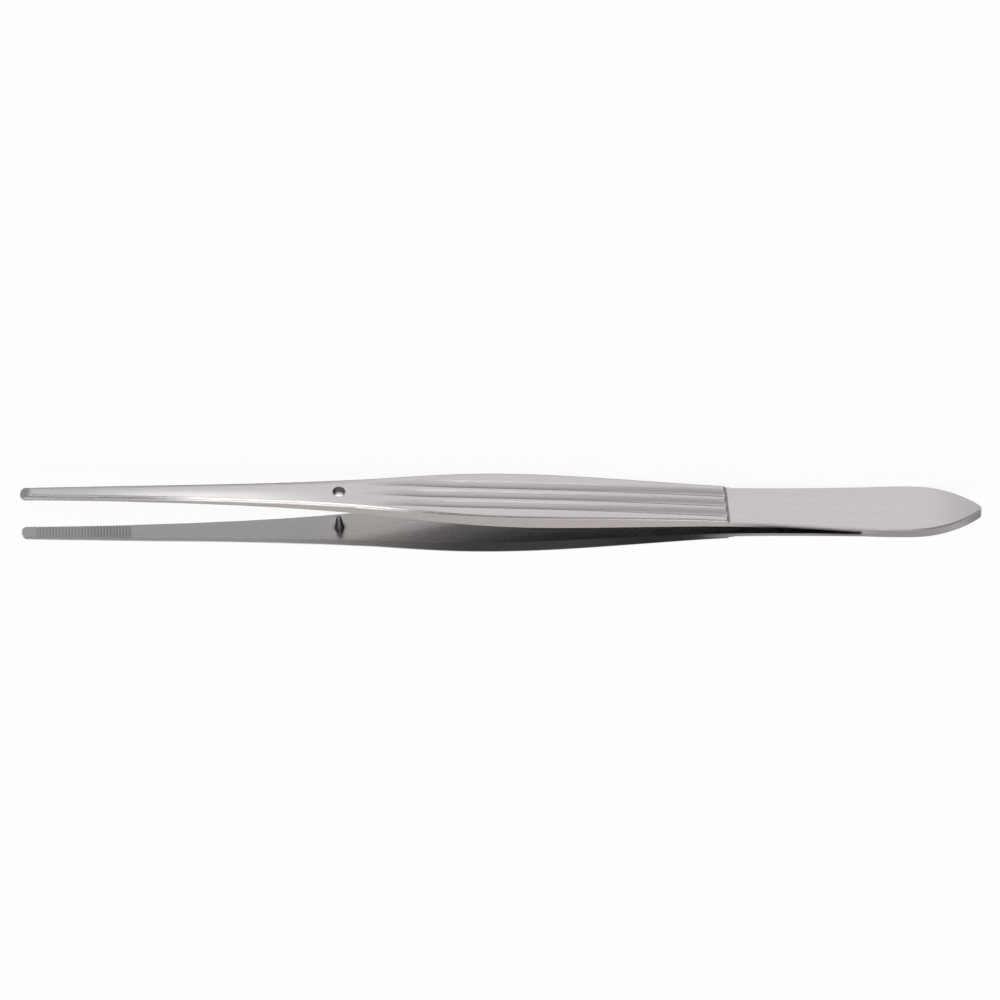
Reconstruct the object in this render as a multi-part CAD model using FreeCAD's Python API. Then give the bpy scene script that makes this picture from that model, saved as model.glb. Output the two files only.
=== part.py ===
"""Dressing thumb forceps, 150 mm long, lying at rest on the side edges of both arms.

Two spring arms are welded face to face at the heel. Each arm has four stretches, joined end to
end: the jaw, the fluted grip, the thin spring strip and the flat pointed heel plate. One arm has
the guide hole, and the other carries the guide pin.

Each arm is made in the instrument's own frame: X runs from the tips to the heel, Y across the
width, and Z away from the plane in which the arms meet. The last step lays the instrument down on
its side, the arm with the hole to the front, with the origin under the middle of its box.
"""
import FreeCAD, Part
import math
import os

Vector = FreeCAD.Vector

# Lengths of the stretches of an arm: the jaw, the fluted grip and the thin spring strip. The heel
# plate has sides that widen to the full width, a short straight, then an ogive to the end.
JAW_LENGTH = 52.0
GRIP_LENGTH = 59.0
STRIP_LENGTH = 20.5
HEEL_FLARE = 6.5
HEEL_STRAIGHT = 1.0
OGIVE_LENGTH = 11.0

# Places where the stretches meet, from the tip. The arms are welded behind the strips.
GRIP_START = JAW_LENGTH
STEP_PLACE = GRIP_START + GRIP_LENGTH
WELD_START = STEP_PLACE + STRIP_LENGTH
OGIVE_START = WELD_START + HEEL_FLARE + HEEL_STRAIGHT
LENGTH = OGIVE_START + OGIVE_LENGTH

# Plan of an arm: place along the arm, and full width there.
WIDTHS = [
    (0.0, 2.0),
    (14.0, 2.5),
    (30.0, 3.32),
    (42.0, 4.27),
    (GRIP_START, 5.55),
    (GRIP_START + 8.0, 7.0),
    (GRIP_START + 17.0, 8.48),
    (GRIP_START + 26.0, 9.0),
    (GRIP_START + 38.0, 8.45),
    (GRIP_START + 48.0, 7.7),
    (STEP_PLACE - 2.0, 7.25),
    (STEP_PLACE + 9.0, 7.62),
    (WELD_START, 8.65),
]

# Side view of an arm: place along the arm, and height of the face above the meeting plane. The
# outer face of the bar is that of the ribs, and runs on past the step.
BAR_OUTER = [
    (0.0, 5.42),
    (20.0, 5.5),
    (36.0, 5.36),
    (GRIP_START - 2.0, 5.16),
    (GRIP_START + 10.0, 4.82),
    (GRIP_START + 22.0, 4.39),
    (GRIP_START + 32.0, 3.96),
    (GRIP_START + 44.0, 3.26),
    (STEP_PLACE + 4.0, 1.86),
]
STRIP_OUTER = [
    (STEP_PLACE - 3.0, 1.79),
    (STEP_PLACE + 7.0, 1.47),
    (STEP_PLACE + 14.0, 1.22),
    (WELD_START, 1.0),
]
INNER = [
    (0.0, 4.4),
    (20.0, 4.34),
    (36.0, 3.97),
    (GRIP_START - 2.0, 3.37),
    (GRIP_START + 12.0, 2.62),
    (GRIP_START + 24.0, 1.88),
    (GRIP_START + 38.0, 1.35),
    (STEP_PLACE - 7.0, 0.99),
    (STEP_PLACE + 5.0, 0.74),
    (STEP_PLACE + 14.0, 0.42),
    (WELD_START, 0.0),
]

# Long outer edges: well rounded on the jaw, less so from the middle of the grip, and broken with a
# bevel on the strip and the heel.
JAW_EDGE_RADIUS = 0.6
GRIP_EDGE_RADIUS = 0.35
STRIP_BEVEL = 0.15
HEEL_BEVEL = 0.2

# Nose of the tip: rounded down to a thin end, with rounded corners in plan.
TIP_NOSE_LENGTH = 2.4
TIP_END_THICKNESS = 0.3
TIP_CORNER_RADIUS = 0.8

# Flutes along the outer face of the grip. Each sinks in slowly from the start of the grip, where it
# is the faintest scratch, and reaches its depth at the end of its run-out.
FLUTE_COUNT = 3
FLUTE_PITCH = 2.0
FLUTE_RADIUS = 1.1
FLUTE_DEPTH = 0.34
FLUTE_SCRATCH = 0.002
MIDDLE_RUN_OUT = 13.0
OUTER_RUN_OUT = 18.0

# Step at the end of the grip, milled with a round cutter that stands slightly askew.
STEP_RADIUS = 0.7
STEP_LAND = 0.4
STEP_SLANT = 4.5

# Full width of the heel plate, as wide as the bow of the grip, and the small round nose at its end.
HEEL_WIDTH = 9.0
HEEL_NOSE_RADIUS = 0.8

# Cross serrations on the inner face of each jaw. Those of the two jaws mesh with each other.
SERRATION_START = 2.2
SERRATION_END = 17.0
SERRATION_PITCH = 0.5
SERRATION_WIDTH = 0.36
SERRATION_DEPTH = 0.12

# Guide pin a little ahead of the grip, its seat in its arm, and the hole in the other arm.
GUIDE_SETBACK = 2.3
PIN_DIAMETER = 1.6
PIN_POINT_DIAMETER = 0.8
PIN_LENGTH = 2.7
PIN_SEAT_DEPTH = 1.1
PIN_FIT_CLEARANCE = 0.0
GUIDE_HOLE_CLEARANCE = 0.2

# Spacing of the cross-sections that a smooth stretch passes through, and how far a cutter runs
# past the metal that it cuts.
SECTION_SPACING = 4.0
OVERCUT = 2.0


def smooth_outline(points):
    """Function that gives the value of a smooth outline through points at a place along it."""
    curve = Part.BSplineCurve()
    curve.interpolate([Vector(along, 0, value) for along, value in points])

    def value_at(along):
        upright = Part.Line(Vector(along, 0, 0), Vector(along, 0, 1))
        return curve.intersectCC(upright)[0].Z

    return value_at


width_at = smooth_outline(WIDTHS)
bar_outer_at = smooth_outline(BAR_OUTER)
strip_outer_at = smooth_outline(STRIP_OUTER)
inner_at = smooth_outline(INNER)


def places_between(start, end):
    """Evenly spaced places from start to end, both included."""
    count = math.ceil((end - start) / SECTION_SPACING)
    return [start + (end - start) * index / count for index in range(count + 1)]


def make_wire(curves):
    """Closed wire of curves that follow each other end to end."""
    return Part.Wire([curve.toShape() for curve in curves])


def make_polyline(points):
    """Straight lines from each point to the next."""
    return [Part.LineSegment(start, end) for start, end in zip(points, points[1:])]


def levelling_arc(start, end):
    """Arc from start that has turned along the X axis where it reaches end."""
    run = end.x - start.x
    rise = Vector(0, end.y - start.y, end.z - start.z)
    radius = (run ** 2 + rise.Length ** 2) / (2 * rise.Length)
    turn = math.asin(run / radius) / 2
    sag = rise * (radius * (1 - math.cos(turn)) / rise.Length)
    middle = end - Vector(radius * math.sin(turn), 0, 0) - sag
    return Part.Arc(start, middle, end)


def mirror_across(shape):
    """Copy of a shape on the other side of the instrument's middle, in plan."""
    return shape.mirror(Vector(0, 0, 0), Vector(0, 1, 0))


def mirror_arm(shape):
    """Copy of a shape of one arm, on the other arm."""
    return shape.mirror(Vector(0, 0, 0), Vector(0, 0, 1))


def share_sunk(along, run_out):
    """Share of a flute's full depth that it has reached at a place along the arm."""
    reached = min(max((along - GRIP_START) / run_out, 0.0), 1.0)
    return (1 - math.cos(reached * math.pi)) / 2


def flute_depths(along):
    """Place across the grip and depth of each flute, at a place along it."""
    depths = []
    for index in range(FLUTE_COUNT):
        place = index - (FLUTE_COUNT - 1) / 2
        run_out = MIDDLE_RUN_OUT if place == 0 else OUTER_RUN_OUT
        sunk = (FLUTE_DEPTH - FLUTE_SCRATCH) * share_sunk(along, run_out)
        depths.append((place * FLUTE_PITCH, FLUTE_SCRATCH + sunk))
    return depths


def edge_radius_at(along):
    """Radius of the bar's long outer edges. It eases off while the outer flutes sink in."""
    share = share_sunk(along, OUTER_RUN_OUT)
    return JAW_EDGE_RADIUS + (GRIP_EDGE_RADIUS - JAW_EDGE_RADIUS) * share


def arm_section(along, outer, edge, bevelled=False, flutes=()):
    """Outline of an arm's cross-section. The one at the step is slanted in plan."""
    half = width_at(along) / 2
    inner = inner_at(along)
    lean = math.tan(math.radians(STEP_SLANT)) if along == STEP_PLACE else 0.0
    inset = edge * (1 - math.sqrt(0.5))

    def point(across, height):
        return Vector(along - across * lean, across, height)

    def corner(start, middle, end):
        return Part.LineSegment(start, end) if bevelled else Part.Arc(start, middle, end)

    side_left = point(-half, outer - edge)
    top_left = point(-half + edge, outer)
    curves = [corner(side_left, point(-half + inset, outer - inset), top_left)]
    reached = top_left
    for across, depth in flutes:
        reach = math.sqrt(2 * FLUTE_RADIUS * depth - depth ** 2)
        brink = point(across - reach, outer)
        far_brink = point(across + reach, outer)
        curves.append(Part.LineSegment(reached, brink))
        curves.append(Part.Arc(brink, point(across, outer - depth), far_brink))
        reached = far_brink
    top_right = point(half - edge, outer)
    side_right = point(half, outer - edge)
    curves.append(Part.LineSegment(reached, top_right))
    curves.append(corner(top_right, point(half - inset, outer - inset), side_right))
    square = [side_right, point(half, inner), point(-half, inner), side_left]
    return make_wire(curves + make_polyline(square))


def tip_nose_cutter():
    """Metal ground off above the nose of the tip."""
    end = Vector(0, 0, inner_at(0.0) + TIP_END_THICKNESS)
    shoulder = Vector(TIP_NOSE_LENGTH, 0, bar_outer_at(TIP_NOSE_LENGTH))
    top = shoulder.z + OVERCUT
    outside = [
        shoulder,
        Vector(TIP_NOSE_LENGTH, 0, top),
        Vector(-OVERCUT, 0, top),
        Vector(-OVERCUT, 0, end.z),
        end,
    ]
    face = Part.Face(make_wire([levelling_arc(end, shoulder)] + make_polyline(outside)))
    width = width_at(TIP_NOSE_LENGTH) + 2 * OVERCUT
    face.translate(Vector(0, -width / 2, 0))
    return face.extrude(Vector(0, width, 0))


def tip_corner_cutter():
    """Metal ground off the two corners of the tip, seen from above."""
    radius = TIP_CORNER_RADIUS
    side = width_at(radius) / 2
    bottom = inner_at(radius) - OVERCUT
    depth = bar_outer_at(radius) + OVERCUT - bottom
    block = Part.makeBox(radius + OVERCUT, radius + OVERCUT, depth, Vector(-OVERCUT, side - radius, bottom))
    disc = Part.makeCylinder(radius, depth, Vector(radius, side - radius, bottom))
    corner = block.cut(disc)
    return corner.fuse(mirror_across(corner))


def step_cutter():
    """Metal milled off behind the ribs: a round end and a flat floor, both slanted in plan."""
    floor = strip_outer_at(STEP_PLACE)
    foot = Vector(STEP_PLACE - STEP_LAND, 0, floor)
    middle = foot + Vector(-math.sqrt(0.5), 0, 1 - math.sqrt(0.5)) * STEP_RADIUS
    top = foot + Vector(-STEP_RADIUS, 0, STEP_RADIUS)
    behind = STEP_PLACE + OVERCUT
    corners = [foot, Vector(behind, 0, floor), Vector(behind, 0, top.z), top]
    face = Part.Face(make_wire([Part.Arc(top, middle, foot)] + make_polyline(corners)))
    reach = width_at(STEP_PLACE)
    across = Vector(-math.tan(math.radians(STEP_SLANT)), 1, 0) * reach
    face.translate(across * -1)
    return face.extrude(across * 2)


def make_jaw():
    """Stretch of the arm from the tip to the start of the grip."""
    places = places_between(0.0, GRIP_START)
    wires = [arm_section(along, bar_outer_at(along), JAW_EDGE_RADIUS) for along in places]
    jaw = Part.makeLoft(wires, True, False)
    return jaw.cut(tip_nose_cutter()).cut(tip_corner_cutter())


def make_grip():
    """Fluted stretch of the arm, up to the foot of the step."""
    wires = []
    for along in places_between(GRIP_START, STEP_PLACE):
        flutes = flute_depths(along)
        wires.append(arm_section(along, bar_outer_at(along), edge_radius_at(along), flutes=flutes))
    return Part.makeLoft(wires, True, False).cut(step_cutter())


def make_strip():
    """Thin spring strip from the foot of the step to the weld, with a bevel that widens a little."""
    wires = []
    for along in places_between(STEP_PLACE, WELD_START):
        bevel = STRIP_BEVEL + (HEEL_BEVEL - STRIP_BEVEL) * (along - STEP_PLACE) / STRIP_LENGTH
        wires.append(arm_section(along, strip_outer_at(along), bevel, bevelled=True))
    return Part.makeLoft(wires, True, False)


def heel_side():
    """One side of the heel plate in plan, from the weld to the round nose, and the nose's start."""
    start = Vector(WELD_START, width_at(WELD_START) / 2, 0)
    widest = Vector(WELD_START + HEEL_FLARE, HEEL_WIDTH / 2, 0)
    shoulder = Vector(OGIVE_START, widest.y, 0)
    nose_centre = Vector(LENGTH - HEEL_NOSE_RADIUS, 0, 0)
    run = nose_centre.x - shoulder.x
    radius = (run ** 2 + shoulder.y ** 2 - HEEL_NOSE_RADIUS ** 2) / (2 * (shoulder.y - HEEL_NOSE_RADIUS))
    centre = Vector(shoulder.x, shoulder.y - radius, 0)
    towards_nose = (nose_centre - centre).normalize()
    nose_start = nose_centre + towards_nose * HEEL_NOSE_RADIUS
    turn = math.atan2(towards_nose.x, towards_nose.y) / 2
    middle = centre + Vector(math.sin(turn), math.cos(turn), 0) * radius
    side = [
        levelling_arc(start, widest),
        Part.LineSegment(widest, shoulder),
        Part.Arc(shoulder, middle, nose_start),
    ]
    return side, nose_start


def make_heel():
    """Flat heel plate from the weld to the end, with a bevel round its outer face."""
    thickness = strip_outer_at(WELD_START)
    side, nose_start = heel_side()
    start = side[0].StartPoint
    edges = [curve.toShape() for curve in side]
    nose_end = Vector(nose_start.x, -nose_start.y, 0)
    nose = Part.Arc(nose_start, Vector(LENGTH, 0, 0), nose_end).toShape()
    back = Part.LineSegment(start, Vector(start.x, -start.y, 0)).toShape()
    outline = Part.Wire(Part.__sortEdges__(edges + [nose, back] + [mirror_across(edge) for edge in edges]))
    plate = Part.Face(outline).extrude(Vector(0, 0, thickness))
    rim = [
        edge for edge in plate.Edges
        if edge.BoundBox.ZMin > thickness / 2 and edge.BoundBox.XMax > WELD_START + HEEL_BEVEL
    ]
    return plate.makeChamfer(HEEL_BEVEL, rim)


def make_arm():
    """Arm before its own features, in one piece from the tip to the heel."""
    return make_jaw().fuse([make_grip(), make_strip(), make_heel()]).removeSplitter()


def serration_cutters(shift):
    """Notches across the inner face of a jaw, moved along by a share of their pitch."""
    notches = []
    flank = SERRATION_WIDTH / 2
    first = SERRATION_START + shift * SERRATION_PITCH
    count = int((SERRATION_END - first) / SERRATION_PITCH) + 1
    for index in range(count):
        along = first + index * SERRATION_PITCH
        face = inner_at(along)
        ridge = Vector(along, 0, face + SERRATION_DEPTH)
        left = Vector(along - 2 * flank, 0, face - SERRATION_DEPTH)
        right = Vector(along + 2 * flank, 0, face - SERRATION_DEPTH)
        notch = Part.Face(make_wire(make_polyline([left, ridge, right, left])))
        reach = width_at(along) + OVERCUT
        notch.translate(Vector(0, -reach / 2, 0))
        notches.append(notch.extrude(Vector(0, reach, 0)))
    return notches


def guide_axis():
    """Foot and direction of the guide pin: square to the inner face of its arm."""
    place = GRIP_START - GUIDE_SETBACK
    reach = PIN_DIAMETER
    rise = inner_at(place + reach) - inner_at(place - reach)
    direction = Vector(rise, 0, 2 * reach).normalize()
    return Vector(place, 0, -inner_at(place)), direction


def make_guide_pin():
    """Pin with a plain shank in its seat and a tapered, round-ended point."""
    shank = PIN_DIAMETER / 2
    tip = PIN_POINT_DIAMETER / 2
    shoulder = PIN_LENGTH - tip
    outline = [
        Vector(0, 0, -PIN_SEAT_DEPTH),
        Vector(shank, 0, -PIN_SEAT_DEPTH),
        Vector(shank, 0, 0),
        Vector(tip, 0, shoulder),
    ]
    point = Vector(0, 0, PIN_LENGTH)
    halfway = Vector(math.sqrt(0.5), 0, math.sqrt(0.5)) * tip
    dome = Part.Arc(outline[-1], Vector(0, 0, shoulder) + halfway, point)
    axis = Part.LineSegment(point, outline[0])
    face = Part.Face(make_wire(make_polyline(outline) + [dome, axis]))
    pin = face.revolve(Vector(0, 0, 0), Vector(0, 0, 1), 360)
    foot, direction = guide_axis()
    pin.Placement = FreeCAD.Placement(foot, FreeCAD.Rotation(Vector(0, 0, 1), direction))
    return pin


def pin_seat():
    """Bore that holds the shank of the guide pin."""
    foot, direction = guide_axis()
    bottom = foot - direction * PIN_SEAT_DEPTH
    radius = PIN_DIAMETER / 2 + PIN_FIT_CLEARANCE
    return Part.makeCylinder(radius, PIN_SEAT_DEPTH + OVERCUT, bottom, direction)


def guide_hole():
    """Hole that the guide pin enters when the jaws close."""
    place = GRIP_START - GUIDE_SETBACK
    radius = PIN_DIAMETER / 2 + GUIDE_HOLE_CLEARANCE
    bottom = inner_at(place) - OVERCUT
    depth = bar_outer_at(place) + OVERCUT - bottom
    return Part.makeCylinder(radius, depth, Vector(place, 0, bottom))


def rest_placement(shape):
    """Placement that lays the instrument down on its side, with its tips towards +X."""
    turn = FreeCAD.Placement(Vector(0, 0, 0), FreeCAD.Rotation(Vector(0, 1, -1), 180))
    lying = shape.copy()
    lying.Placement = turn.multiply(lying.Placement)
    box = lying.optimalBoundingBox(True)
    middle = Vector((box.XMin + box.XMax) / 2, (box.YMin + box.YMax) / 2, box.ZMin)
    return FreeCAD.Placement(middle * -1, turn.Rotation)


def main():
    """Make the pieces, lay them down together and write each to its own file."""
    arm = make_arm()
    pieces = {
        "holed_arm": arm.cut(serration_cutters(0.0) + [guide_hole()]),
        "pinned_arm": mirror_arm(arm.cut(serration_cutters(0.5))).cut(pin_seat()),
        "guide_pin": make_guide_pin(),
    }
    rest = rest_placement(Part.makeCompound(list(pieces.values())))
    os.makedirs("parts", exist_ok=True)
    for name, piece in pieces.items():
        piece.Placement = rest.multiply(piece.Placement)
        piece.exportStep(f"parts/{name}.step")


main()
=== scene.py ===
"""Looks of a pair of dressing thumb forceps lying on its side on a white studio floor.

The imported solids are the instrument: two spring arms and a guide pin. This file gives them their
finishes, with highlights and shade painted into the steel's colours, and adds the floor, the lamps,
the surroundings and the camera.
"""

import logging
import math
from dataclasses import dataclass
from enum import Enum
from typing import ClassVar

import bpy
from mathutils import Matrix, Vector

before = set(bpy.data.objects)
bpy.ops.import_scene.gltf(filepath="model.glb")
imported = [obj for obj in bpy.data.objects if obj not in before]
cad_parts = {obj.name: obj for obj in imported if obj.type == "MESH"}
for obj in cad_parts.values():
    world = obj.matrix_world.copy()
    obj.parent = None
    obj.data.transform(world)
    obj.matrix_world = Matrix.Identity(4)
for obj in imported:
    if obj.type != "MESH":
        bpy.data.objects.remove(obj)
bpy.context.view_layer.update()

log = logging.getLogger("forceps")

MILLIMETRE = 0.001

Colour = tuple[float, float, float]
Place = tuple[float, float, float]
Range = tuple[float, float]
Socket = bpy.types.NodeSocket


class Blend(Enum):
    """How a node combines its two values."""

    ADD = "ADD"
    SUBTRACT = "SUBTRACT"
    MULTIPLY = "MULTIPLY"
    DIVIDE = "DIVIDE"
    ROOT = "SQRT"
    MAXIMUM = "MAXIMUM"
    ABSOLUTE = "ABSOLUTE"
    SIGN = "SIGN"
    FRACTION = "FRACT"


class NodeSheet:
    """Nodes of one material, surroundings or group, added and wired one at a time."""

    def __init__(self, tree: bpy.types.NodeTree) -> None:
        """Start on a node tree.

        Args:
            tree: The tree that the nodes go into.
        """
        self.tree = tree

    def add(self, kind: str, **settings: object) -> bpy.types.Node:
        """Add a node.

        Args:
            kind: Blender's name for the node's type.
            settings: Properties to set on it.

        Returns:
            The new node.
        """
        node = self.tree.nodes.new(kind)
        for name, value in settings.items():
            setattr(node, name, value)
        return node

    def feed(self, socket: Socket, value: object) -> None:
        """Wire a socket to another, or set its plain value.

        Args:
            socket: The input to fill.
            value: An output socket, a number, a vector or a colour.
        """
        if isinstance(value, Socket):
            self.tree.links.new(value, socket)
        elif socket.type == "RGBA" and len(value) == 3:
            socket.default_value = (*value, 1.0)
        else:
            socket.default_value = value

    def math(self, blend: Blend, first: object, second: object = 0.0) -> Socket:
        """Combine two values.

        Args:
            blend: How to combine them.
            first: A number or an output socket.
            second: A number or an output socket.

        Returns:
            The result.
        """
        node = self.add("ShaderNodeMath", operation=blend.value)
        self.feed(node.inputs[0], first)
        self.feed(node.inputs[1], second)
        return node.outputs[0]

    def ramp(self, value: object, start: float, end: object, low: float = 0.0, high: float = 1.0) -> Socket:
        """Turn a range of values into another, smoothly and held at both ends.

        Args:
            value: The value to turn.
            start: Where the range starts.
            end: Where it ends, a number or an output socket.
            low: Result at the start.
            high: Result at the end.

        Returns:
            The result.
        """
        node = self.add("ShaderNodeMapRange", interpolation_type="SMOOTHSTEP")
        self.feed(node.inputs["Value"], value)
        self.feed(node.inputs["From Min"], start)
        self.feed(node.inputs["From Max"], end)
        self.feed(node.inputs["To Min"], low)
        self.feed(node.inputs["To Max"], high)
        return node.outputs["Result"]

    def mix(self, share: object, first: object, second: object) -> Socket:
        """Mix two colours.

        Args:
            share: Share of the second colour.
            first: A colour or an output socket.
            second: A colour or an output socket.

        Returns:
            The mixed colour.
        """
        node = self.add("ShaderNodeMix", data_type="RGBA")
        self.feed(node.inputs["Factor"], share)
        # Blender gives a Mix node sockets of each kind, and its colours come after the others.
        self.feed(node.inputs[6], first)
        self.feed(node.inputs[7], second)
        return node.outputs[2]

    def darken(self, share: object, colour: object) -> Socket:
        """Take a share of a colour away.

        Args:
            share: Share to take away.
            colour: A colour or an output socket.

        Returns:
            The darker colour.
        """
        return self.mix(share, colour, (0.0, 0.0, 0.0))

    def split(self, vector: object) -> tuple[Socket, Socket, Socket]:
        """Split a vector.

        Args:
            vector: The vector's output socket.

        Returns:
            Its three parts.
        """
        node = self.add("ShaderNodeSeparateXYZ")
        self.feed(node.inputs[0], vector)
        return node.outputs[0], node.outputs[1], node.outputs[2]

    def stretch(self, vector: object, scale: Place, turn: Place = (0.0, 0.0, 0.0)) -> Socket:
        """Turn a vector and scale it along each axis.

        Args:
            vector: The vector's output socket.
            scale: Scale along each axis.
            turn: Rotation about each axis, in radians.

        Returns:
            The new vector.
        """
        node = self.add("ShaderNodeMapping", vector_type="POINT")
        self.feed(node.inputs["Vector"], vector)
        self.feed(node.inputs["Rotation"], turn)
        self.feed(node.inputs["Scale"], scale)
        return node.outputs["Vector"]

    def noise(self, vector: object, scale: object, detail: float, roughness: float = 0.5) -> Socket:
        """Add a noise pattern.

        Args:
            vector: Where the pattern is read.
            scale: Blotches to the unit of length.
            detail: Finer layers.
            roughness: How strong the finer layers are.

        Returns:
            The pattern's value, from 0 to 1.
        """
        node = self.add("ShaderNodeTexNoise")
        self.feed(node.inputs["Vector"], vector)
        self.feed(node.inputs["Scale"], scale)
        self.feed(node.inputs["Detail"], detail)
        self.feed(node.inputs["Roughness"], roughness)
        return node.outputs["Fac"]


@dataclass(frozen=True)
class EffectGroup:
    """A shader node group that more than one finish places with its own values."""

    name: str
    inputs: tuple[tuple[str, str, float], ...]
    outputs: tuple[str, ...]

    def start(self) -> tuple[NodeSheet, bpy.types.Node, bpy.types.Node]:
        """Make the group and its sockets.

        Returns:
            The group's sheet, and the nodes that hold its inputs and its outputs.
        """
        tree = bpy.data.node_groups.new(self.name, "ShaderNodeTree")
        for name, kind, value in self.inputs:
            socket = tree.interface.new_socket(name, in_out="INPUT", socket_type=kind)
            if kind == "NodeSocketFloat":
                socket.default_value = value
        for name in self.outputs:
            tree.interface.new_socket(name, in_out="OUTPUT", socket_type="NodeSocketFloat")
        sheet = NodeSheet(tree)
        return sheet, sheet.add("NodeGroupInput"), sheet.add("NodeGroupOutput")


@dataclass(frozen=True)
class GrainGroup(EffectGroup):
    """Fine streaks left by grinding, long in X and narrow across it."""

    name: str = "ground_grain"
    inputs: tuple[tuple[str, str, float], ...] = (
        ("Place", "NodeSocketVector", 0.0),
        ("Fineness", "NodeSocketFloat", 9000.0),
    )
    outputs: tuple[str, ...] = ("Streaks", "Height")
    streak_length: float = 26.0
    fine_detail: float = 3.0
    fine_roughness: float = 0.62
    fine_share: float = 0.7
    patch_scale: float = 0.11
    patch_detail: float = 2.0
    patch_share: float = 0.3
    contrast: Range = (0.3, 0.7)

    def build(self) -> bpy.types.NodeTree:
        """Build the group.

        Returns:
            The node group.
        """
        sheet, given, result = self.start()
        narrow = sheet.stretch(given.outputs["Place"], (1.0 / self.streak_length, 1.0, 1.0))
        fine = sheet.noise(narrow, given.outputs["Fineness"], self.fine_detail, self.fine_roughness)
        patch_scale = sheet.math(Blend.MULTIPLY, given.outputs["Fineness"], self.patch_scale)
        patches = sheet.noise(narrow, patch_scale, self.patch_detail)
        fine_part = sheet.math(Blend.MULTIPLY, fine, self.fine_share)
        patch_part = sheet.math(Blend.MULTIPLY, patches, self.patch_share)
        streaks = sheet.math(Blend.ADD, fine_part, patch_part)
        sheet.feed(result.inputs["Streaks"], sheet.ramp(streaks, *self.contrast))
        sheet.feed(result.inputs["Height"], fine)
        return sheet.tree


@dataclass(frozen=True)
class HandlingGroup(EffectGroup):
    """Marks of use: soft smudges, and sparse hairline scratches at two slants."""

    name: str = "handling_marks"
    inputs: tuple[tuple[str, str, float], ...] = (
        ("Place", "NodeSocketVector", 0.0),
        ("Amount", "NodeSocketFloat", 1.0),
    )
    outputs: tuple[str, ...] = ("Smudges", "Scratches")
    smudge_scale: float = 130.0
    smudge_detail: float = 3.0
    smudge_roughness: float = 0.55
    smudge_contrast: Range = (0.42, 0.72)
    scratch_scale: float = 900.0
    scratch_stretch: float = 0.03
    scratch_detail: float = 1.0
    scratch_contrast: Range = (0.735, 0.78)
    slants: Range = (0.35, -0.9)

    def build(self) -> bpy.types.NodeTree:
        """Build the group.

        Returns:
            The node group.
        """
        sheet, given, result = self.start()
        place = given.outputs["Place"]
        amount = given.outputs["Amount"]
        blotches = sheet.noise(place, self.smudge_scale, self.smudge_detail, self.smudge_roughness)
        smudges = sheet.ramp(blotches, *self.smudge_contrast)
        marks = []
        for slant in self.slants:
            lines = sheet.stretch(place, (self.scratch_stretch, 1.0, 1.0), (0.0, slant, 0.0))
            streaks = sheet.noise(lines, self.scratch_scale, self.scratch_detail)
            marks.append(sheet.ramp(streaks, *self.scratch_contrast))
        scratches = sheet.math(Blend.MAXIMUM, *marks)
        sheet.feed(result.inputs["Smudges"], sheet.math(Blend.MULTIPLY, smudges, amount))
        sheet.feed(result.inputs["Scratches"], sheet.math(Blend.MULTIPLY, scratches, amount))
        return sheet.tree


class Workshop:
    """The effect groups, built once, that the finishes place in their materials."""

    def __init__(self) -> None:
        """Build every group."""
        self.grain = GrainGroup().build()
        self.handling = HandlingGroup().build()

    @staticmethod
    def place(sheet: NodeSheet, group: bpy.types.NodeTree, **values: object) -> bpy.types.Node:
        """Place a group in a material.

        Args:
            sheet: The material's sheet.
            group: The group.
            values: What its named inputs get.

        Returns:
            The node that stands for the group.
        """
        node = sheet.add("ShaderNodeGroup", node_tree=group)
        for name, value in values.items():
            sheet.feed(node.inputs[name], value)
        return node


@dataclass(frozen=True)
class SteelFinish:
    """Ground and polished stainless steel."""

    name: str
    roughness: Range
    grain_depth: float
    fineness: float
    streak_share: float
    wear: float
    smudge_dulling: ClassVar[float] = 0.05

    def start(self) -> tuple[NodeSheet, bpy.types.Node, bpy.types.Material]:
        """Make the material with its shader.

        Returns:
            The material's sheet, its shader and the material.
        """
        material = bpy.data.materials.new(self.name)
        material.use_nodes = True
        sheet = NodeSheet(material.node_tree)
        shader = material.node_tree.nodes["Principled BSDF"]
        shader.inputs["Metallic"].default_value = 1.0
        return sheet, shader, material

    def grained(self, sheet: NodeSheet, grain: bpy.types.Node, colour: object) -> Socket:
        """Lay the grain's dark streaks over a colour.

        Args:
            sheet: The material's sheet.
            grain: The node that stands for the grain.
            colour: A colour or an output socket.

        Returns:
            The streaked colour.
        """
        streaked = sheet.math(Blend.MULTIPLY, grain.outputs["Streaks"], self.streak_share)
        return sheet.darken(streaked, colour)

    def gloss(self, sheet: NodeSheet, grain: bpy.types.Node, marks: bpy.types.Node) -> Socket:
        """Work out the roughness, which follows the grain and grows under the smudges.

        Args:
            sheet: The material's sheet.
            grain: The node that stands for the grain.
            marks: The node that stands for the marks of use.

        Returns:
            The roughness.
        """
        ground = sheet.ramp(grain.outputs["Streaks"], 0.0, 1.0, *self.roughness)
        smudged = sheet.math(Blend.MULTIPLY, marks.outputs["Smudges"], self.smudge_dulling)
        return sheet.math(Blend.ADD, ground, smudged)

    def relief(self, sheet: NodeSheet, shader: bpy.types.Node, height: Socket) -> None:
        """Give the surface its fine relief.

        Args:
            sheet: The material's sheet.
            shader: The material's shader.
            height: Height over the surface.
        """
        bump = sheet.add("ShaderNodeBump")
        bump.inputs["Strength"].default_value = 1.0
        bump.inputs["Distance"].default_value = self.grain_depth
        sheet.feed(bump.inputs["Height"], height)
        sheet.feed(shader.inputs["Normal"], bump.outputs["Normal"])


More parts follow.
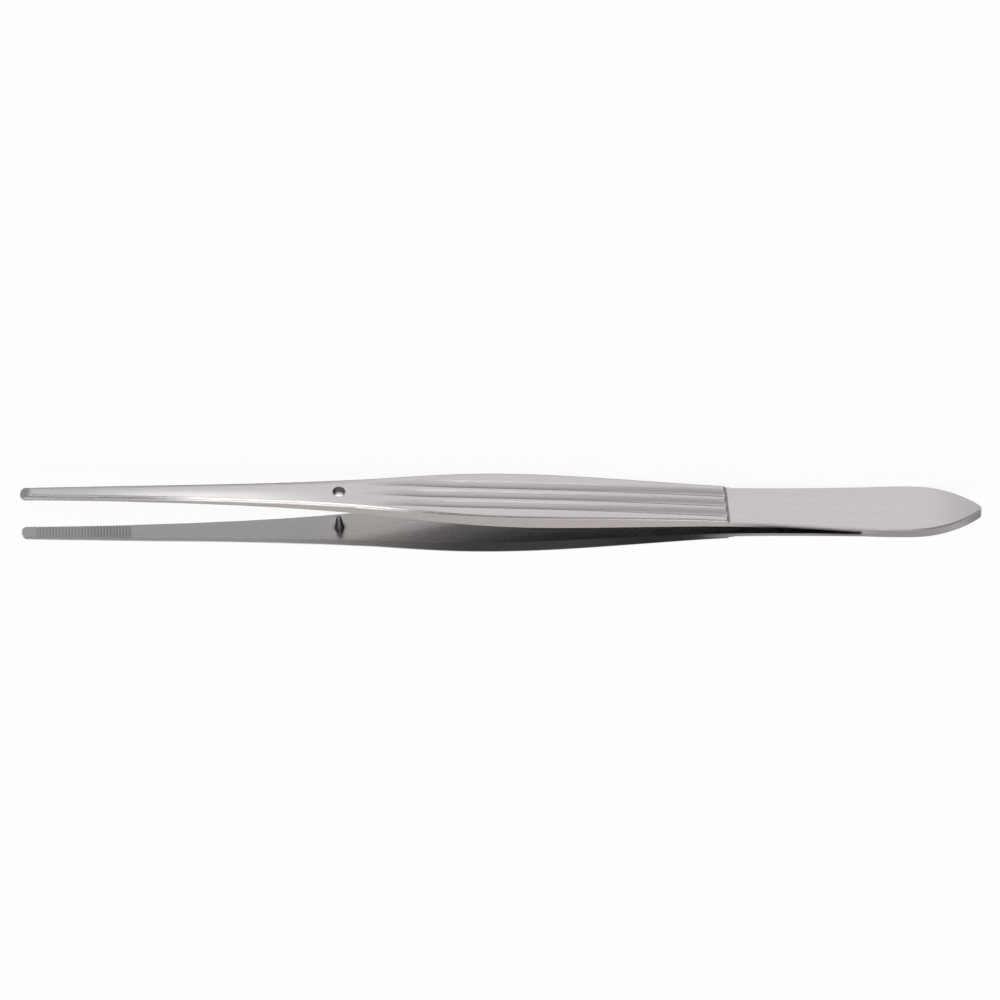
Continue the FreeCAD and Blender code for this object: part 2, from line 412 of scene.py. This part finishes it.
@dataclass(frozen=True)
class Stretch:
    """Stretch of the arms, by its places from the tips, with a soft start and a soft end."""

    start: float
    end: float
    start_fade: float
    end_fade: float

    def mask(self, sheet: NodeSheet, from_tip: Socket) -> Socket:
        """Mask of the stretch.

        Args:
            sheet: The sheet that the mask goes into.
            from_tip: Place from the tips.

        Returns:
            The mask.
        """
        begun = sheet.ramp(from_tip, self.start, self.start + self.start_fade)
        left = sheet.ramp(from_tip, self.end - self.end_fade, self.end, 1.0, 0.0)
        return sheet.math(Blend.MULTIPLY, begun, left)


@dataclass(frozen=True)
class ArmLayout:
    """Places on the arms that their finish follows, in metres."""

    tip_place: float
    middle_height: float
    serrations: Stretch
    serrations_end: Stretch
    tip_nose_shade: Stretch
    jaw_sheen: Stretch
    tip_edge_shade: Stretch
    bright_edge: Stretch
    far_rim: Stretch
    tip_shade: Stretch
    flutes: Stretch
    grip_edge_shade: Stretch
    step: Stretch
    strip: Stretch
    gap: Stretch
    lighter_inner_shade: Stretch
    shaded_side: Stretch
    darkest_side: Stretch
    slit: Stretch
    heel: Stretch
    heel_nose: Stretch
    heel_point: Stretch
    slit_end: float
    slit_slope: float
    slit_reach: Range
    slit_closing: Range
    step_slant: float
    flute_pitch: float
    flutes_reach: Range
    flute_drift: Range
    flute_drift_share: float
    jaw_half: tuple[float, float, float]
    jaw_rim: Range
    guide_place: float
    hole_radius: float
    hole_fade: float
    hole_depths: Range
    pin_radius: float
    foot_fade: float


@dataclass(frozen=True)
class ArmTones:
    """Colours of the arms' steel, and of the highlights and shade painted over each part of an arm."""

    face: Colour
    tip_shade: Colour
    heel_face: Colour
    sheen_and_scratch: Colour
    edge: Colour
    tip_edge_shade: Colour
    grip_edge_shade: Colour
    strip_edge_shade: Colour
    rim: Colour
    flute: Colour
    underside_shade: Colour
    band: Colour
    tip_band_shade: Colour
    heel_band_shade: Colour
    heel_point_shade: Colour
    pinned_band_shade: Colour
    shaded_band: Colour
    deepest_band_shade: Colour
    slit: Colour
    inner: Colour
    lighter_inner_shade: Colour
    serrated: Colour
    serrated_end: Colour
    lit_serration_wall: Colour
    gap: Colour
    tip_nose_shade: Colour
    step: Colour
    hole: Colour
    hole_end_light: Colour
    pin_foot_shadow: Colour


class ArmSurface:
    """What an arm's finish reads of the surface: place, facing and the sides of the arm."""

    # Each mask fades over a range of one part of the surface's unit normal.
    INNER_FACING: ClassVar[Range] = (-0.9, -0.6)
    OUTER_FACING: ClassVar[Range] = (0.15, 0.35)
    BAND_FACING: ClassVar[Range] = (0.12, 0.3)
    LEANING_UP: ClassVar[Range] = (0.28, 0.5)
    LEANING_DOWN: ClassVar[Range] = (0.16, 0.6)
    FACING_TIP: ClassVar[Range] = (0.08, 0.35)
    FACING_HEEL: ClassVar[Range] = (0.12, 0.4)
    # The sign of the place along Y is -1 on the holed arm and 1 on the pinned arm.
    PINNED_SIDE: ClassVar[Range] = (0.0, 0.5)
    # Shares of half the jaw's width, and of the way from one flute to the next.
    TOP_SHINE: ClassVar[Range] = (-0.35, 0.62)
    FLUTE_FLOOR: ClassVar[Range] = (0.14, 0.7)
    FLUTE_WALL: ClassVar[Range] = (0.74, 0.9)
    FLUTE_SHIFT: ClassVar[float] = 0.5

    def __init__(self, sheet: NodeSheet, layout: ArmLayout) -> None:
        """Read the surface.

        Args:
            sheet: The material's sheet.
            layout: Places on the arms.
        """
        self.sheet = sheet
        self.layout = layout
        coordinates = sheet.add("ShaderNodeTexCoord")
        self.place = coordinates.outputs["Object"]
        along, opening, height = sheet.split(self.place)
        lengthwise, facing, upward = sheet.split(coordinates.outputs["Normal"])
        self.from_tip = sheet.math(Blend.SUBTRACT, layout.tip_place, along)
        self.across = sheet.math(Blend.SUBTRACT, height, layout.middle_height)
        self.depth = sheet.math(Blend.ABSOLUTE, opening)
        slant = sheet.math(Blend.MULTIPLY, self.across, layout.step_slant)
        self.slanted = sheet.math(Blend.SUBTRACT, self.from_tip, slant)

        side = sheet.math(Blend.SIGN, opening)
        outward = sheet.math(Blend.MULTIPLY, facing, side)
        self.inner = sheet.ramp(outward, *self.INNER_FACING, 1.0, 0.0)
        self.outer = sheet.ramp(outward, *self.OUTER_FACING)
        self.band = sheet.ramp(sheet.math(Blend.ABSOLUTE, facing), *self.BAND_FACING, 1.0, 0.0)
        self.pinned = sheet.ramp(side, *self.PINNED_SIDE)
        self.holed = sheet.math(Blend.SUBTRACT, 1.0, self.pinned)

        downward = sheet.math(Blend.MULTIPLY, upward, -1.0)
        heelward = sheet.math(Blend.MULTIPLY, lengthwise, -1.0)
        self.leaning_up = sheet.ramp(upward, *self.LEANING_UP)
        self.leaning_down = sheet.ramp(downward, *self.LEANING_DOWN)
        self.faces_tip = sheet.ramp(lengthwise, *self.FACING_TIP)
        self.faces_heel = sheet.ramp(heelward, *self.FACING_HEEL)

    def all_of(self, *masks: object) -> Socket:
        """Mask of what lies in every one of several masks.

        Args:
            masks: The masks.

        Returns:
            Their product.
        """
        product = masks[0]
        for mask in masks[1:]:
            product = self.sheet.math(Blend.MULTIPLY, product, mask)
        return product

    def along(self, stretch: Stretch) -> Socket:
        """Mask of a stretch of the arms."""
        return stretch.mask(self.sheet, self.from_tip)

    def within_guide(self, radius: float, fade: float) -> Socket:
        """Mask of what lies round the axis of the guide pin and of its hole.

        Args:
            radius: Reach of the mask.
            fade: How far past the reach it fades out.

        Returns:
            The mask.
        """
        offset = self.sheet.math(Blend.SUBTRACT, self.from_tip, self.layout.guide_place)
        squares = [self.sheet.math(Blend.MULTIPLY, part, part) for part in (offset, self.across)]
        distance = self.sheet.math(Blend.ROOT, self.sheet.math(Blend.ADD, *squares))
        return self.sheet.ramp(distance, radius, radius + fade, 1.0, 0.0)

    def jaw_half(self) -> Socket:
        """Work out half of the jaw's width at each place from the tips.

        Returns:
            Half of the width.
        """
        half, widening, bend = self.layout.jaw_half
        bent = self.sheet.math(Blend.MULTIPLY, self.from_tip, bend)
        slope = self.sheet.math(Blend.ADD, bent, widening)
        widened = self.sheet.math(Blend.MULTIPLY, self.from_tip, slope)
        return self.sheet.math(Blend.ADD, widened, half)

    def toward_top(self) -> Socket:
        """Mask of the painted sheen on the jaw's outer face, which grows toward its upper edge."""
        share = self.sheet.math(Blend.DIVIDE, self.across, self.jaw_half())
        return self.sheet.ramp(share, *self.TOP_SHINE)

    def bottom_rim(self) -> Socket:
        """Mask of the lower rim of the jaw's outer face, where shade is painted."""
        inset = self.sheet.math(Blend.ADD, self.across, self.jaw_half())
        return self.sheet.ramp(inset, *self.layout.jaw_rim, 1.0, 0.0)

    def fluted(self) -> Socket:
        """Shade the flutes, deeper across each of them and as far as its upper wall.

        Returns:
            The mask of the shade, which drifts across the flutes toward the heel.
        """
        layout = self.layout
        most = self.FLUTE_SHIFT + layout.flute_drift_share
        drift = self.sheet.ramp(self.from_tip, *layout.flute_drift, self.FLUTE_SHIFT, most)
        turns = self.sheet.math(Blend.DIVIDE, self.across, layout.flute_pitch)
        share = self.sheet.math(Blend.FRACTION, self.sheet.math(Blend.ADD, turns, drift))
        floor = self.sheet.ramp(share, *self.FLUTE_FLOOR)
        return self.all_of(floor, self.sheet.ramp(share, *self.FLUTE_WALL, 1.0, 0.0))

    def slit_shade(self) -> Socket:
        """Shade the side bands beside the slit between the spring strips.

        Returns:
            The mask of the shade, which the pinned arm only has near the slit's end.
        """
        sheet, layout = self.sheet, self.layout
        left = sheet.math(Blend.SUBTRACT, layout.slit_end, self.from_tip)
        opening = sheet.math(Blend.MAXIMUM, sheet.math(Blend.MULTIPLY, left, layout.slit_slope), 0.0)
        beyond = sheet.math(Blend.SUBTRACT, self.depth, opening)
        reach = sheet.ramp(self.pinned, 0.0, 1.0, *layout.slit_reach)
        shade = sheet.ramp(beyond, 0.0, reach, 1.0, 0.0)
        closing = sheet.ramp(self.from_tip, *layout.slit_closing)
        shaded = sheet.math(Blend.MAXIMUM, self.holed, closing)
        return self.all_of(self.band, self.along(layout.slit), shade, shaded)

    def grooved(self) -> Socket:
        """Find the part of the outer face that holds the flutes.

        Returns:
            Its mask, which ends along the slanted step.
        """
        reach = self.sheet.math(Blend.ABSOLUTE, self.across)
        middle = self.sheet.ramp(reach, *self.layout.flutes_reach, 1.0, 0.0)
        return self.all_of(self.outer, middle, self.layout.flutes.mask(self.sheet, self.slanted))


@dataclass(frozen=True)
class ArmFinish(SteelFinish):
    """Satin steel of the spring arms, with painted shade inside and in the grooves, and a painted sheen
    along the jaw.
    """

    inner_gloss: float
    layout: ArmLayout
    tones: ArmTones
    scratch_shine: ClassVar[float] = 0.2
    scratch_depth: ClassVar[float] = 0.8

    def layers(self, surface: ArmSurface) -> list[tuple[Socket, Colour]]:
        """Tones over the plain face, in the order in which they go on.

        Args:
            surface: What the finish reads of the surface.

        Returns:
            Mask and colour of each tone.
        """
        sheet, layout, tones = surface.sheet, self.layout, self.tones
        both, along = surface.all_of, surface.along
        outer, inner, band = surface.outer, surface.inner, surface.band
        grooved = surface.grooved()
        even = sheet.math(Blend.SUBTRACT, 1.0, grooved)
        upper_edge = both(outer, surface.leaning_up, even)
        lower_edge = both(outer, surface.leaning_down, even)
        pinned_band_shade = both(band, surface.pinned)
        serrated = both(inner, along(layout.serrations))
        foot = both(inner, surface.pinned, surface.within_guide(layout.pin_radius, layout.foot_fade))
        hole = both(surface.holed, surface.within_guide(layout.hole_radius, layout.hole_fade))
        return [
            # Painted shade: the outer face darker near the tips.
            (both(outer, along(layout.tip_shade)), tones.tip_shade),
            # The outer face is darker toward the heel's end.
            (both(outer, along(layout.heel_nose)), tones.heel_face),
            # Painted sheen: the jaw's outer face lighter toward its upper edge.
            (both(outer, along(layout.jaw_sheen), surface.toward_top()), tones.sheen_and_scratch),
            # Painted shade on the upper edge near the tips, dimming the lamp's highlight there.
            (both(upper_edge, along(layout.tip_edge_shade)), tones.tip_edge_shade),
            # Painted highlight along the jaw's upper edge.
            (both(upper_edge, along(layout.bright_edge)), tones.edge),
            # Painted shade along the lower rim of the jaw's outer face.
            (both(outer, along(layout.far_rim), surface.bottom_rim()), tones.rim),
            # Painted shade on the upper edge of the strips and the heel, dimming the lamp's highlight there.
            (both(upper_edge, along(layout.strip)), tones.strip_edge_shade),
            # Painted shade on the grip's upper edge.
            (both(upper_edge, along(layout.grip_edge_shade)), tones.grip_edge_shade),
            # Painted shade on outer surfaces that lean downward, outside the flutes.
            (lower_edge, tones.underside_shade),
            # Painted shade in the flutes.
            (both(grooved, surface.fluted()), tones.flute),
            (band, tones.band),
            # Painted shade on the side bands near the tips.
            (both(band, along(layout.tip_edge_shade)), tones.tip_band_shade),
            # Painted shade: the pinned arm's side band darker than the holed arm's.
            (pinned_band_shade, tones.pinned_band_shade),
            (both(pinned_band_shade, along(layout.shaded_side)), tones.shaded_band),
            # Painted shade, at its deepest along the rear of the grip, on the pinned arm's side band.
            (both(pinned_band_shade, along(layout.darkest_side)), tones.deepest_band_shade),
            # Painted shade on the heel's side bands.
            (both(band, along(layout.heel)), tones.heel_band_shade),
            # Painted shade on the side bands at the heel's point.
            (both(band, along(layout.heel_point)), tones.heel_point_shade),
            (surface.slit_shade(), tones.slit),
            # Painted shade: the inner faces darker than the outer ones.
            (inner, tones.inner),
            # Lighter painted shade on the inner faces about where the grips begin.
            (both(inner, along(layout.lighter_inner_shade)), tones.lighter_inner_shade),
            # The serrated stretch of the inner face is darker, and darker still toward its end.
            (serrated, tones.serrated),
            (both(serrated, along(layout.serrations_end)), tones.serrated_end),
            # Painted light on the serration walls that face the tips, evening out the teeth's shading.
            (both(serrated, surface.faces_tip), tones.lit_serration_wall),
            # The painted shade on the inner faces is lighter along the gap toward the heel.
            (both(inner, along(layout.gap)), tones.gap),
            # Painted shadow on the pinned arm round the foot of the guide pin.
            (foot, tones.pin_foot_shadow),
            # Painted shade on the tips' noses.
            (both(outer, surface.faces_tip, along(layout.tip_nose_shade)), tones.tip_nose_shade),
            # Painted shadow on the faces of the step that face the heel.
            (both(surface.faces_heel, along(layout.step)), tones.step),
            # Painted light in the hole of the holed arm, toward its inner end.
            (hole, tones.hole_end_light),
            # Painted shade in the hole, toward its outer end.
            (both(hole, sheet.ramp(surface.depth, *layout.hole_depths)), tones.hole),
        ]

    def build(self, workshop: Workshop) -> bpy.types.Material:
        """Build the material.

        Args:
            workshop: Where the effect groups are.

        Returns:
            The material.
        """
        sheet, shader, material = self.start()
        surface = ArmSurface(sheet, self.layout)
        grain = workshop.place(sheet, workshop.grain, Place=surface.place, Fineness=self.fineness)
        marks = workshop.place(sheet, workshop.handling, Place=surface.place, Amount=self.wear)

        colour: object = self.tones.face
        for mask, tone in self.layers(surface):
            colour = sheet.mix(mask, colour, tone)
        # Scratches are wear; they lighten toward the painted sheen's colour.
        scratched = sheet.math(Blend.MULTIPLY, marks.outputs["Scratches"], self.scratch_shine)
        colour = sheet.mix(scratched, self.grained(sheet, grain, colour), self.tones.sheen_and_scratch)
        sheet.feed(shader.inputs["Base Color"], colour)

        smoother = sheet.math(Blend.MULTIPLY, surface.inner, self.inner_gloss)
        roughness = sheet.math(Blend.SUBTRACT, self.gloss(sheet, grain, marks), smoother)
        sheet.feed(shader.inputs["Roughness"], roughness)
        dented = sheet.math(Blend.MULTIPLY, marks.outputs["Scratches"], self.scratch_depth)
        self.relief(sheet, shader, sheet.math(Blend.SUBTRACT, grain.outputs["Height"], dented))
        return material


@dataclass(frozen=True)
class PinFinish(SteelFinish):
    """Turned steel of the guide pin, with rings round its axis, painted shade on its sides, deepest toward
    the heel, and a painted highlight on its point.
    """

    face: Colour
    tip_side_shade: Colour
    heel_side_shade: Colour
    point: Colour
    ring_stretch: ClassVar[Place] = (0.02, 1.0, 0.02)
    tip_facing: ClassVar[Range] = (0.15, 0.75)
    heel_facing: ClassVar[Range] = (-0.15, -0.6)
    point_facing: ClassVar[Range] = (-0.6, -0.9)

    def build(self, workshop: Workshop) -> bpy.types.Material:
        """Build the material.

        Args:
            workshop: Where the effect groups are.

        Returns:
            The material.
        """
        sheet, shader, material = self.start()
        coordinates = sheet.add("ShaderNodeTexCoord")
        place = coordinates.outputs["Object"]
        lengthwise, facing, _ = sheet.split(coordinates.outputs["Normal"])
        rings = sheet.stretch(place, self.ring_stretch)
        grain = workshop.place(sheet, workshop.grain, Place=rings, Fineness=self.fineness)
        marks = workshop.place(sheet, workshop.handling, Place=place, Amount=self.wear)
        # Painted shade on the pin's sides, deepest toward the heel, and a painted highlight on its point.
        colour = sheet.mix(sheet.ramp(lengthwise, *self.tip_facing), self.face, self.tip_side_shade)
        colour = sheet.mix(sheet.ramp(lengthwise, *self.heel_facing), colour, self.heel_side_shade)
        colour = sheet.mix(sheet.ramp(facing, *self.point_facing), colour, self.point)
        sheet.feed(shader.inputs["Base Color"], self.grained(sheet, grain, colour))
        sheet.feed(shader.inputs["Roughness"], self.gloss(sheet, grain, marks))
        self.relief(sheet, shader, grain.outputs["Height"])
        return material


@dataclass(frozen=True)
class SteelPiece:
    """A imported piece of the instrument, which keeps its shape and gets a finish."""

    node: str
    slot: str

    def dress(self, material: bpy.types.Material) -> bpy.types.Object:
        """Give the piece its finish.

        Args:
            material: The finish's material.

        Returns:
            The piece.
        """
        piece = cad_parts[self.node]
        for slot in piece.material_slots:
            slot.material = material
        return piece


@dataclass(frozen=True)
class Instrument:
    """The forceps: two spring arms and the guide pin."""

    length: float = 0.150
    half_height: float = 0.0045
    grip_start: float = 0.052
    step_place: float = 0.1105
    weld_place: float = 0.1315
    guide_setback: float = 0.0023

    def layout(self) -> ArmLayout:
        """Lay out the places on the arms that their finish follows.

        Returns:
            The places.
        """
        return ArmLayout(
            tip_place=self.length / 2,
            middle_height=self.half_height,
            serrations=Stretch(0.002, 0.0174, 0.0006, 0.0006),
            serrations_end=Stretch(0.0096, 0.0174, 0.0016, 0.0006),
            tip_nose_shade=Stretch(-0.001, 0.0034, 0.0005, 0.0012),
            jaw_sheen=Stretch(0.006, self.grip_start, 0.022, 0.022),
            tip_edge_shade=Stretch(-0.001, 0.034, MILLIMETRE, 0.016),
            bright_edge=Stretch(0.02, self.grip_start + 0.014, 0.016, 0.014),
            far_rim=Stretch(0.001, self.grip_start + 0.006, 0.002, 0.018),
            tip_shade=Stretch(-0.001, 0.026, MILLIMETRE, 0.016),
            flutes=Stretch(self.grip_start, self.step_place, 0.01, MILLIMETRE / 5),
            grip_edge_shade=Stretch(self.grip_start + 0.003, 0.1, 0.012, 0.028),
            step=Stretch(self.step_place - 0.0025, self.step_place + 0.0012, 0.0004, 0.0004),
            strip=Stretch(self.grip_start + 0.006, self.length + 0.01, 0.01, MILLIMETRE),
            gap=Stretch(self.grip_start + 0.026, self.length + 0.01, 0.02, MILLIMETRE),
            lighter_inner_shade=Stretch(self.grip_start - 0.008, self.grip_start + 0.016, 0.008, 0.012),
            shaded_side=Stretch(self.grip_start - 0.016, self.step_place + 0.005, 0.036, 0.0105),
            darkest_side=Stretch(0.086, self.step_place - 0.003, 0.012, 0.005),
            slit=Stretch(self.step_place - 0.0005, self.weld_place, 0.009, 0.0006),
            heel=Stretch(self.weld_place - 0.004, self.length + 0.01, 0.008, MILLIMETRE),
            heel_nose=Stretch(self.length - 0.01, self.length + 0.01, 0.01, MILLIMETRE),
            heel_point=Stretch(self.length - 0.0045, self.length + 0.01, 0.0045, MILLIMETRE),
            slit_end=self.weld_place - 0.0005,
            slit_slope=0.048,
            slit_reach=(0.0009, 0.0007),
            slit_closing=(0.122, 0.129),
            step_slant=0.0787,
            flute_pitch=0.002,
            flutes_reach=(0.00288, 0.00298),
            flute_drift=(0.075, 0.106),
            flute_drift_share=0.25,
            jaw_half=(0.001, 0.01423, 0.259),
            jaw_rim=(0.0003, MILLIMETRE),
            guide_place=self.grip_start - self.guide_setback,
            hole_radius=0.00102,
            hole_fade=0.00005,
            hole_depths=(0.00365, 0.0041),
            pin_radius=0.0008,
            foot_fade=0.0005,
        )

    @staticmethod
    def tones() -> ArmTones:
        """Choose the colours of the arms' steel, and of the highlights and shade painted over it.

        Returns:
            The colours.
        """
        return ArmTones(
            face=(0.62, 0.585, 0.602),
            tip_shade=(0.54, 0.52, 0.525),
            heel_face=(0.5, 0.465, 0.48),
            sheen_and_scratch=(0.94, 0.92, 0.91),
            edge=(0.84, 0.82, 0.8),
            tip_edge_shade=(0.3, 0.29, 0.29),
            grip_edge_shade=(0.22, 0.21, 0.205),
            strip_edge_shade=(0.38, 0.365, 0.365),
            rim=(0.4, 0.385, 0.39),
            flute=(0.365, 0.345, 0.35),
            underside_shade=(0.2, 0.19, 0.195),
            band=(0.75, 0.69, 0.67),
            tip_band_shade=(0.66, 0.62, 0.605),
            heel_band_shade=(0.53, 0.49, 0.49),
            heel_point_shade=(0.26, 0.24, 0.24),
            pinned_band_shade=(0.49, 0.475, 0.478),
            shaded_band=(0.073, 0.073, 0.07),
            deepest_band_shade=(0.036, 0.036, 0.034),
            slit=(0.012, 0.012, 0.012),
            inner=(0.34, 0.325, 0.33),
            lighter_inner_shade=(0.395, 0.37, 0.36),
            serrated=(0.265, 0.252, 0.255),
            serrated_end=(0.228, 0.217, 0.221),
            lit_serration_wall=(0.4, 0.38, 0.386),
            gap=(0.385, 0.372, 0.365),
            tip_nose_shade=(0.265, 0.252, 0.252),
            step=(0.22, 0.205, 0.205),
            hole=(0.2, 0.188, 0.193),
            hole_end_light=(0.97, 0.94, 0.95),
            pin_foot_shadow=(0.23, 0.22, 0.22),
        )

    def satin(self) -> ArmFinish:
        """Make the finish of both arms.

        Returns:
            The finish.
        """
        return ArmFinish(
            name="satin_arm_steel",
            roughness=(0.26, 0.35),
            grain_depth=0.000004,
            fineness=9000.0,
            streak_share=0.06,
            wear=0.6,
            inner_gloss=0.07,
            layout=self.layout(),
            tones=self.tones(),
        )

    @staticmethod
    def turned() -> PinFinish:
        """Make the finish of the guide pin.

        Returns:
            The finish.
        """
        return PinFinish(
            name="turned_pin_steel",
            roughness=(0.19, 0.3),
            grain_depth=0.000004,
            fineness=9000.0,
            streak_share=0.12,
            wear=0.3,
            face=(0.24, 0.23, 0.23),
            tip_side_shade=(0.13, 0.124, 0.126),
            heel_side_shade=(0.085, 0.08, 0.082),
            point=(0.3, 0.29, 0.29),
        )

    def dress(self, workshop: Workshop) -> list[bpy.types.Object]:
        """Give every piece its finish.

        Args:
            workshop: Where the effect groups are.

        Returns:
            The pieces.
        """
        satin = self.satin().build(workshop)
        turned = self.turned().build(workshop)
        arms = [SteelPiece(node, "satin_steel").dress(satin) for node in ("holed_arm", "pinned_arm")]
        return [*arms, SteelPiece("guide_pin", "pin_steel").dress(turned)]


@dataclass(frozen=True)
class SoftLamp:
    """A square soft lamp that shines at the instrument."""

    name: str
    place: Place
    width: float
    power: float
    colour: Colour = (1.0, 1.0, 1.0)

    def build(self, target: Vector) -> bpy.types.Object:
        """Hang the lamp.

        Args:
            target: Point that it shines at.

        Returns:
            The lamp.
        """
        lamp = bpy.data.lights.new(self.name, "AREA")
        lamp.shape = "SQUARE"
        lamp.size = self.width
        lamp.energy = self.power
        lamp.color = self.colour
        hung = bpy.data.objects.new(self.name, lamp)
        bpy.context.scene.collection.objects.link(hung)
        hung.location = self.place
        hung.rotation_mode = "QUATERNION"
        hung.rotation_quaternion = (target - Vector(self.place)).to_track_quat("-Z", "Y")
        return hung


@dataclass(frozen=True)
class Studio:
    """White floor, bright surroundings and soft lamps."""

    floor_half: float = 3.0
    floor_tone: float = 0.92
    floor_roughness: float = 0.9
    shadow_lift: float = 0.9
    wall_light: float = 0.9
    ceiling_tone: float = 0.62
    ceiling_start: float = 0.3
    ceiling_end: float = 0.62

    @staticmethod
    def seen(sheet: NodeSheet) -> Socket:
        """Mask of the rays that see the backdrop: from the camera, by gloss or through glass.

        Args:
            sheet: The sheet that the mask goes into.

        Returns:
            The mask.
        """
        path = sheet.add("ShaderNodeLightPath")
        gloss = sheet.math(Blend.MAXIMUM, path.outputs["Is Glossy Ray"], path.outputs["Is Transmission Ray"])
        return sheet.math(Blend.MAXIMUM, path.outputs["Is Camera Ray"], gloss)

    def floor(self) -> bpy.types.Object:
        """Lay the floor.

        Returns:
            The floor.
        """
        reach = self.floor_half
        mesh = bpy.data.meshes.new("studio_floor")
        corners = [(-reach, -reach, 0.0), (reach, -reach, 0.0), (reach, reach, 0.0), (-reach, reach, 0.0)]
        mesh.from_pydata(corners, [], [(0, 1, 2, 3)])
        floor = bpy.data.objects.new("studio_floor", mesh)
        bpy.context.scene.collection.objects.link(floor)
        material = bpy.data.materials.new("floor_paper")
        material.use_nodes = True
        sheet = NodeSheet(material.node_tree)
        shader = material.node_tree.nodes["Principled BSDF"]
        shader.inputs["Base Color"].default_value = (self.floor_tone, self.floor_tone, self.floor_tone, 1.0)
        shader.inputs["Roughness"].default_value = self.floor_roughness
        shader.inputs["Specular IOR Level"].default_value = 0.0
        glow = sheet.add("ShaderNodeEmission")
        mixed = sheet.add("ShaderNodeMixShader")
        sheet.feed(mixed.inputs[0], sheet.math(Blend.MULTIPLY, self.seen(sheet), self.shadow_lift))
        sheet.feed(mixed.inputs[1], shader.outputs[0])
        sheet.feed(mixed.inputs[2], glow.outputs[0])
        output = material.node_tree.nodes["Material Output"]
        sheet.feed(output.inputs["Surface"], mixed.outputs[0])
        mesh.materials.append(material)
        return floor

    def surroundings(self) -> bpy.types.World:
        """Make the walls, white to the eye, and the dimmer ceiling above them.

        Returns:
            The surroundings.
        """
        world = bpy.data.worlds.new("studio_surroundings")
        world.use_nodes = True
        world.node_tree.nodes.clear()
        sheet = NodeSheet(world.node_tree)
        _, _, height = sheet.split(sheet.add("ShaderNodeTexCoord").outputs["Generated"])
        shade = sheet.ramp(height, self.ceiling_start, self.ceiling_end, 1.0, self.ceiling_tone)
        light = sheet.add("ShaderNodeBackground")
        light.inputs["Strength"].default_value = self.wall_light
        backdrop = sheet.add("ShaderNodeBackground")
        sheet.feed(backdrop.inputs["Strength"], shade)
        mixed = sheet.add("ShaderNodeMixShader")
        sheet.feed(mixed.inputs[0], self.seen(sheet))
        sheet.feed(mixed.inputs[1], light.outputs[0])
        sheet.feed(mixed.inputs[2], backdrop.outputs[0])
        output = sheet.add("ShaderNodeOutputWorld")
        sheet.feed(output.inputs["Surface"], mixed.outputs[0])
        bpy.context.scene.world = world
        return world

    @staticmethod
    def lamps() -> list[SoftLamp]:
        """Choose the lamps, the main one on the camera's side.

        Returns:
            The lamps.
        """
        return [
            SoftLamp("front_lamp", (0.25, -0.95, 0.85), 0.8, 3.0),
            SoftLamp("top_lamp", (-0.25, 0.15, 1.4), 1.0, 4.0),
        ]


@dataclass(frozen=True)
class PhotographView:
    """Camera at the photograph's angle, which shows the arms with their upward side below."""

    elevation_deg: float = 40.0
    roll_deg: float = 180.12
    distance: float = 1.8
    frame_width: float = 0.15619
    sensor: float = 36.0
    middle_along: float = 0.0002
    middle_height: float = 0.0045
    image_rise: float = 0.001981
    clip_ratio: float = 100.0

    def build(self) -> bpy.types.Object:
        """Set up the camera.

        Returns:
            The camera.
        """
        elevation = math.radians(self.elevation_deg)
        roll = math.radians(self.roll_deg)
        view = Vector((0.0, math.cos(elevation), -math.sin(elevation)))
        level_right = Vector((1.0, 0.0, 0.0))
        level_up = level_right.cross(view)
        right = level_right * math.cos(roll) - level_up * math.sin(roll)
        up = level_up * math.cos(roll) + level_right * math.sin(roll)
        target = Vector((self.middle_along, 0.0, self.middle_height)) + up * self.image_rise
        lens = bpy.data.cameras.new("photograph_view")
        lens.sensor_width = self.sensor
        lens.lens = self.sensor * self.distance / self.frame_width
        lens.clip_start = self.distance / self.clip_ratio
        lens.clip_end = self.distance * self.clip_ratio
        camera = bpy.data.objects.new("photograph_view", lens)
        bpy.context.scene.collection.objects.link(camera)
        rotation = Matrix((right, up, -view)).transposed().to_4x4()
        camera.matrix_world = Matrix.Translation(target - view * self.distance) @ rotation
        bpy.context.scene.camera = camera
        return camera


def main() -> None:
    """Dress the instrument, then set up the studio and the camera."""
    logging.basicConfig(level=logging.INFO)
    bpy.context.scene.view_settings.view_transform = "Standard"
    workshop = Workshop()
    for piece in Instrument().dress(workshop):
        log.info("%s wears %s, %d faces", piece.name, piece.active_material.name, len(piece.data.polygons))
    studio = Studio()
    log.info("floor %s", studio.floor().name)
    log.info("surroundings %s", studio.surroundings().name)
    for lamp in studio.lamps():
        log.info("lamp %s", lamp.build(Vector((0.0, 0.0, 0.0))).name)
    log.info("camera %s", PhotographView().build().name)


if __name__ == "__main__":
    main()
